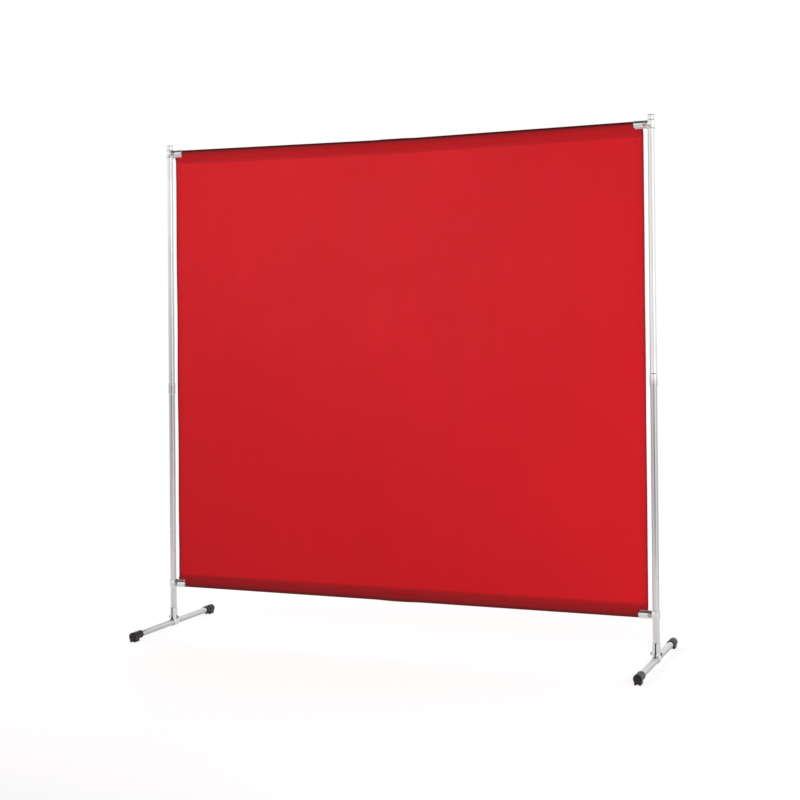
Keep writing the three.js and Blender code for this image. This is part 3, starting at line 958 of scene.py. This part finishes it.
def slack(x, z, low, high):
    """How far the taut panel stands out of its plane, in millimetres: long, faint waves along
    the pull, a looser free edge, and puckers that run out of the four corners."""
    t = np.clip((z - low) / (high - low), 0, 1)
    held = np.sin(math.pi * t) ** 0.7
    wander = 70 * np.sin(2 * math.pi * z / 1900 + 0.7)
    waves = 0.9 * np.sin(2 * math.pi * (x + wander) / 455 + 1.1)
    waves += 0.45 * np.sin(2 * math.pi * (x - 0.6 * wander) / 211 + 2.3)
    waves += 1.6 * np.sin(2 * math.pi * x / 1310 + 0.4) * np.sin(math.pi * t)
    from_edge = CURTAIN_EDGE - np.abs(x)
    loose = 1.5 * np.exp(-from_edge / 70) * np.sin(2 * math.pi * z / 530 + np.sign(x))
    total = held * (waves + loose)
    for corner_x in (-TUNNEL_END, TUNNEL_END):
        for corner_z in (low, high):
            dx, dz = np.abs(x - corner_x), np.abs(z - corner_z)
            away = np.hypot(dx, dz)
            fan = np.sin(9 * np.arctan2(dz, dx) + corner_x / 300)
            total += 1.3 * fan * np.exp(-away / 95) * smooth(dz, 0, 45) * smooth(away, 8, 60)
    return total


def pucker(x, h, depth):
    """How a tunnel's side stands in or out between its rail and its weld, in millimetres."""
    side = np.sin(math.pi * np.clip((h - NOTCH * 0.3) / (depth - NOTCH * 0.3), 0, 1))
    ripple = np.sin(2 * math.pi * x / 61 + 1.7 * np.sin(x / 97))
    ripple += 0.6 * np.sin(2 * math.pi * x / 37 + 2.1 * np.sin(x / 151))
    return 0.32 * side * ripple


def sheet_columns():
    """(x, lift) of each column from one hem to the other. The outer columns turn round the
    hem's fold and come back over the sheet at a lift of FOLD. Also how many lie in a side."""
    edge, hem_edge = CURTAIN_EDGE - SHEET / 2, CURTAIN_EDGE - HEM
    inner = np.linspace(-TUNNEL_END, TUNNEL_END, 2 * round(TUNNEL_END / COLUMN_STEP) + 1)
    outer = [TUNNEL_END + 5, hem_edge - 1.5, hem_edge, hem_edge + 4, hem_edge + HEM_WELD]
    outer += [hem_edge + 16, edge - 1.2, edge - FOLD / 2]
    side = [(x, 0.0) for x in outer]
    for angle in np.linspace(0, math.pi, 7)[1:-1]:
        out, lift = math.sin(angle), 1 - math.cos(angle)
        side.append((edge - FOLD / 2 + FOLD / 2 * out, FOLD / 2 * lift))
    side += [(x, FOLD) for x in outer[::-1] if x >= hem_edge]
    columns = [(-x, lift) for x, lift in side[::-1]]
    return columns + [(x, 0.0) for x in inner] + side, len(side)


def curtain_mesh():
    """The middle surface of the sheet, the (start, end) of each tunnel's weld along it and its
    flat size, both in metres."""
    columns, side = sheet_columns()
    path, _, (narrow, panel, tunnel, narrow_top) = sheet_column(600.0)
    rows = len(path)
    lengths = np.concatenate([[0], np.cumsum(np.hypot(*np.diff(path, axis=0).T))])
    gaps = np.hypot(*np.diff(np.array(columns), axis=0).T)
    flat_x = np.concatenate([[0], np.cumsum(gaps)])
    flat_x -= flat_x[-1] / 2

    # the third list holds each point's painted shade, which the sheet's colour takes
    points, layout, painted_shades = [], [], []
    for (x, lift), across in zip(columns, flat_x):
        column, painted_shade, _ = sheet_column(x)
        y, z = column.T
        top = TOP_RAIL_Z - rail_drop(abs(x))
        along = np.gradient(column, axis=0)
        along /= np.linalg.norm(along, axis=1)[:, None]
        shift = np.zeros(rows)
        on_panel = slice(panel, tunnel)
        low, high = BOTTOM_RAIL_Z + BOTTOM_TUNNEL, top - TOP_TUNNEL
        shift[on_panel] = slack(x, z[on_panel], low, high)
        if abs(x) <= TUNNEL_END:
            shift[:panel] = pucker(x, z[:panel] - BOTTOM_RAIL_Z, BOTTOM_TUNNEL)
            shift[tunnel:] = pucker(x, top - z[tunnel:], TOP_TUNNEL)
        y = y + shift + lift * along[:, 1]
        z = z - lift * along[:, 0]
        points.append(np.stack([np.full(rows, x), y, z], axis=1))
        layout.append(np.stack([np.full(rows, across), lengths, np.zeros(rows)], axis=1))
        painted_shades.append(painted_shade)

    faces = []
    for c in range(len(columns) - 1):
        full_length = side <= c < len(columns) - 1 - side
        first, last = (0, rows - 1) if full_length else (narrow, narrow_top - 1)
        for r in range(first, last):
            here = c * rows + r
            faces.append([here, here + rows, here + rows + 1, here + 1])
    faces = np.array(faces)
    used = np.unique(faces)
    renumbered = np.full(rows * len(columns), -1)
    renumbered[used] = np.arange(len(used))
    points, layout, painted_shades = (np.concatenate(each)[used] for each in (points, layout, painted_shades))
    mesh = write_mesh("curtain_sheet", points, renumbered[faces], wear_and_shade=painted_shades, grain=layout)
    metres = lengths * MM
    welds = (metres[panel], metres[panel + 3]), (metres[tunnel - 4], metres[tunnel - 1])
    return mesh, welds, (float(flat_x[-1] - flat_x[0]) * MM, float(metres[-1]))


def apply_modifiers(piece):
    """Writes what a piece's modifiers make into its mesh."""
    view = bpy.context.evaluated_depsgraph_get()
    made = bpy.data.meshes.new_from_object(piece.evaluated_get(view))
    piece.modifiers.clear()
    piece.data = made


def add_curtain():
    mesh, welds, flat = curtain_mesh()
    fold = flat[0] / 2 - HEM * MM
    sheet = show("curtain_sheet", mesh)
    solidify = sheet.modifiers.new("thickness", "SOLIDIFY")
    solidify.thickness = SHEET * MM
    solidify.offset = 0
    solidify.use_even_offset = True
    apply_modifiers(sheet)
    sheet.data.materials.append(red_vinyl(welds, fold - HEM * MM, fold))
    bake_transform(sheet)
    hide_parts("curtain")


# ---------- Studio

FLOOR_RADIUS = 5
FLOOR_FADE = 1.8, 4.5  # from its middle, where it begins to fade and where it is gone
# How much the floor shines by itself, so that it lights the object white although the curtain
# tints it; and how much more it does so in reflections and in the picture
FLOOR_GLOW = 0.22
FLOOR_REFLECTED = 0.25
FLOOR_SEEN = 0.56


def add_floor():
    """A pale disc that fades into the white round it."""
    mesh = bpy.data.meshes.new("floor")
    shape = bmesh.new()
    bmesh.ops.create_circle(shape, cap_ends=True, segments=96, radius=FLOOR_RADIUS)
    shape.to_mesh(mesh)
    shape.free()
    material = bpy.data.materials.new("floor")
    material.use_nodes = True
    tree = material.node_tree
    shader = tree.nodes["Principled BSDF"]
    shader.inputs["Base Color"].default_value = (0.35, 0.35, 0.35, 1)
    shader.inputs["Roughness"].default_value = 0.9
    shader.inputs["Specular IOR Level"].default_value = 0.1
    shader.inputs["Emission Color"].default_value = (1, 1, 1, 1)
    rays = add_node(tree, "LightPath").outputs
    glow = FLOOR_GLOW
    for kind, more in (("Is Glossy Ray", FLOOR_REFLECTED), ("Is Camera Ray", FLOOR_SEEN)):
        inputs = {0: rays[kind], 1: more, 2: glow}
        glow = add_node(tree, "Math", inputs, operation="MULTIPLY_ADD").outputs[0]
    tree.links.new(glow, shader.inputs["Emission Strength"])
    place = add_node(tree, "TexCoord").outputs["Object"]
    away = add_node(tree, "VectorMath", {0: place}, operation="LENGTH").outputs["Value"]
    clear = add_node(tree, "BsdfTransparent").outputs[0]
    inputs = {0: eased(tree, away, *FLOOR_FADE), 1: shader.outputs[0], 2: clear}
    mixed = add_node(tree, "MixShader", inputs)
    tree.links.new(mixed.outputs[0], tree.nodes["Material Output"].inputs["Surface"])
    mesh.materials.append(material)
    show("floor", mesh)


# The studio's brightness at heights from straight down, 0, to straight up, 1
STUDIO = ((0, 0.8), (0.41, 0.48), (0.5, 0.62), (0.53, 1), (0.73, 1), (0.81, 0.14), (1, 0.08))
BEHIND_STRETCH = 0.85  # a height behind the object looks this much lower
# The photographer's place takes away light, most below eye level, and a bright strip adds some
GAP_TOWARDS = (0.24, -0.97, 0)
GAP_LEVELS = 0.4, 0.85  # below and above eye level
EYE_LEVEL = -0.06, 0.06  # slopes between which the gap goes from one to the other
STRIP_TOWARDS = (0.87, -0.5, 0)
STRIP_LEVEL = 1.5
SPOT_EDGES = 0.88, 0.975  # cosines between which they set in


def light_world():
    """A white background, and round the object a pale studio that is dark overhead, with light
    that comes down lower behind the object, a gap where the photographer stands and a bright
    strip beside it."""
    world = bpy.data.worlds.new("studio")
    bpy.context.scene.world = world
    world.use_nodes = True
    tree = world.node_tree

    def product(a, b):
        return add_node(tree, "Math", {0: a, 1: b}, operation="MULTIPLY").outputs[0]

    direction = add_node(tree, "TexCoord").outputs["Generated"]
    parts = add_node(tree, "SeparateXYZ", {0: direction})
    behind = eased(tree, parts.outputs["Y"], -0.1, 0.5, 1.0, BEHIND_STRETCH)
    inputs = {"Value": product(parts.outputs["Z"], behind), "From Min": -1.0, "From Max": 1.0}
    height = add_node(tree, "MapRange", inputs).outputs["Result"]
    ramp = add_node(tree, "ValToRGB", {"Fac": height})
    while len(ramp.color_ramp.elements) < len(STUDIO):
        ramp.color_ramp.elements.new(0.5)
    for element, (position, value) in zip(ramp.color_ramp.elements, STUDIO):
        element.position = position
        element.color = (value, value, value, 1)
    gap_level = eased(tree, parts.outputs["Z"], *EYE_LEVEL, *GAP_LEVELS)
    levels = []
    for towards, level in ((GAP_TOWARDS, gap_level), (STRIP_TOWARDS, STRIP_LEVEL)):
        inputs = {0: direction, 1: towards}
        facing = add_node(tree, "VectorMath", inputs, operation="DOT_PRODUCT").outputs["Value"]
        levels.append(eased(tree, facing, *SPOT_EDGES, 1.0, level))
    inputs = {"Color": ramp.outputs["Color"], "Strength": product(*levels)}
    studio = add_node(tree, "Background", inputs).outputs[0]
    backdrop = add_node(tree, "Background", {"Color": (1, 1, 1, 1)}).outputs[0]
    seen = add_node(tree, "LightPath").outputs["Is Camera Ray"]
    mixed = add_node(tree, "MixShader", {0: seen, 1: studio, 2: backdrop})
    tree.links.new(mixed.outputs[0], tree.nodes["World Output"].inputs["Surface"])


def add_lamp(name, at, aim, size, power):
    """A square soft box that neither the camera nor a reflection shows."""
    data = bpy.data.lights.new(name, "AREA")
    data.shape = "SQUARE"
    data.size = size
    data.energy = power
    lamp = show(name, data)
    lamp.location = at
    lamp.rotation_euler = (Vector(aim) - Vector(at)).to_track_quat("-Z", "Y").to_euler()
    lamp.visible_camera = False
    lamp.visible_glossy = False


def add_lights():
    light_world()
    add_lamp("low_right", at=(2.2, -1.8, 0.75), aim=(0.5, 0, 1.2), size=1.5, power=29)
    add_lamp("high_left", at=(-0.95, -2.3, 1.9), aim=(-0.3, 0, 2.5), size=1.8, power=29)
    add_lamp("back", at=(-1.5, 3.5, 2.6), aim=(0, 0, 1.1), size=2.4, power=60)


CAMERA_AT = Vector((2.0977, -5.1482, 1.2268))
CAMERA_TURNS = 22.0016, 0.382, -0.5291  # to the left, up and to the right, in degrees
LENS = 64.19
LENS_SHIFT = -0.1  # keeps the posts nearly upright


def add_camera():
    """Stands to the right of the screen's middle and looks to the left, almost level."""
    yaw, pitch, roll = (math.radians(angle) for angle in CAMERA_TURNS)
    forward = Vector(
        (-math.sin(yaw) * math.cos(pitch), math.cos(yaw) * math.cos(pitch), math.sin(pitch))
    )
    level = Vector((math.cos(yaw), math.sin(yaw), 0))
    upright = level.cross(forward)
    right = level * math.cos(roll) + upright * math.sin(roll)
    up = upright * math.cos(roll) - level * math.sin(roll)
    data = bpy.data.cameras.new("camera")
    data.sensor_width = 36
    data.lens = LENS
    data.shift_y = LENS_SHIFT
    data.clip_start = 0.1
    data.clip_end = 60
    camera = show("camera", data)
    camera.matrix_world = placed(CAMERA_AT / MM, right, up, -forward)
    bpy.context.scene.camera = camera
    bpy.context.scene.view_settings.view_transform = "Standard"


# ---------- The scene

add_camera()
add_lights()
add_floor()
# the foot tubes take a darker copy of the tube material, painted shade for the dimmer light near the
# floor
add_tubes(drawn_aluminium("tube_aluminium", 1), drawn_aluminium("shaded_foot_aluminium", 0.8))
add_tees(zinc_plate(), bolt_steel())
add_caps(moulded_rubber())
add_plugs(plug_plastic())
add_curtain()
